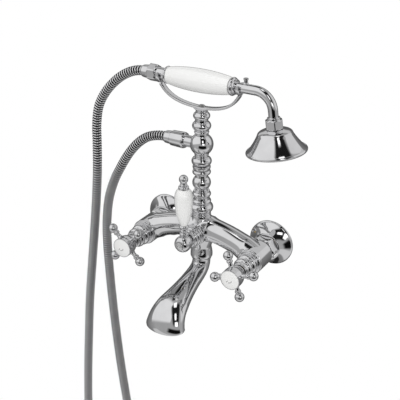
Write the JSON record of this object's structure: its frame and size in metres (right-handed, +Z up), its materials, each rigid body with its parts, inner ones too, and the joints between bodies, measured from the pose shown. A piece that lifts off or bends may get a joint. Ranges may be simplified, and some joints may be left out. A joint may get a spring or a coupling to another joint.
{
  "type": "wall mounted bath faucet",
  "caption": "Chrome bath and shower mixer for a wall, with cross handles, a porcelain diverter lever, a wide spout and a hand shower on a cradle above a beaded column",
  "frame": {"origin": "On the finished face of the wall, midway between the hot and cold inlets, at the height of their centre lines", "axes": "+Z is up, -Y points out of the wall towards the bather, +X is to the right seen from in front, so the hot side is at -X"},
  "size_m": [0.3373, 0.1608, 0.7367],
  "materials": {
    "chrome": "polished chrome plate on brass",
    "porcelain": "glossy white glaze",
    "hose_metal": "interlocked metal hose, satin chrome",
    "brass": "machined brass",
    "screw_steel": "stainless steel",
    "disc_ceramic": "ground alumina",
    "seal_rubber": "black nitrile",
    "white_plastic": "moulded acetal"
  },
  "bodies": {
    "root": {"hot_union": "brass", "cold_union": "brass", "hot_flange": "chrome", "cold_flange": "chrome", "hot_union_nut": "chrome", "cold_union_nut": "chrome", "union_washers": "seal_rubber", "mixer_body": "chrome", "hot_cartridge": "brass", "cold_cartridge": "brass", "fixed_discs": "disc_ceramic", "hot_bonnet": "chrome", "cold_bonnet": "chrome", "diverter_bonnet": "chrome", "diverter_cartridge": "brass", "spout_screw": "screw_steel", "column_base": "chrome", "column_stem": "chrome", "outlet_ball": "chrome", "column_top": "chrome", "check_valve": "white_plastic", "cradle": "chrome", "cradle_screw": "screw_steel", "hose": "hose_metal", "lower_ferrule": "chrome", "lower_nut": "chrome", "lower_washer": "seal_rubber"},
    "hot_valve": {"hot_turning_disc": "disc_ceramic", "hot_spindle": "brass", "hot_handle": "chrome", "hot_handle_screw": "screw_steel", "hot_button": "porcelain"},
    "cold_valve": {"cold_turning_disc": "disc_ceramic", "cold_spindle": "brass", "cold_handle": "chrome", "cold_handle_screw": "screw_steel", "cold_button": "porcelain"},
    "diverter": {"diverter_spindle": "brass", "diverter_hub": "chrome", "diverter_screw": "screw_steel", "diverter_cap": "chrome", "lever_rod": "brass", "lever_ferrule": "chrome", "lever_porcelain": "porcelain", "lever_finial": "chrome"},
    "swing_spout": {"spout": "chrome", "spout_seals": "seal_rubber"},
    "hand_shower": {"handset_tail": "chrome", "handset_cap": "chrome", "handset_grip": "porcelain", "handset_core": "brass", "handset_collar": "chrome", "handset_neck": "chrome", "head_nut": "chrome", "shower_bell": "chrome", "spray_plate": "chrome", "upper_ferrule": "chrome", "upper_nut": "chrome", "upper_washer": "seal_rubber"}
  },
  "joints": [
    {"name": "hot_turn", "type": "hinge", "parent": "root", "child": "hot_valve", "pos_m": [-0.075, -0.06, 0], "axis": [0, -1, 0], "range_deg": [0, 90]},
    {"name": "cold_turn", "type": "hinge", "parent": "root", "child": "cold_valve", "pos_m": [0.075, -0.06, 0], "axis": [0, -1, 0], "range_deg": [-90, 0]},
    {"name": "diverter_turn", "type": "hinge", "parent": "root", "child": "diverter", "pos_m": [0, -0.06, 0.017], "axis": [0, -1, 0], "range_deg": [-60, 0]},
    {"name": "spout_swivel", "type": "hinge", "parent": "root", "child": "swing_spout", "pos_m": [0, -0.043, -0.015], "axis": [0, 0, 1], "range_deg": [-45, 45]},
    {"name": "handset_lift", "type": "slide", "parent": "root", "child": "hand_shower", "axis": [0, 0, 1], "range_m": [0, 0.1]}
  ]
}
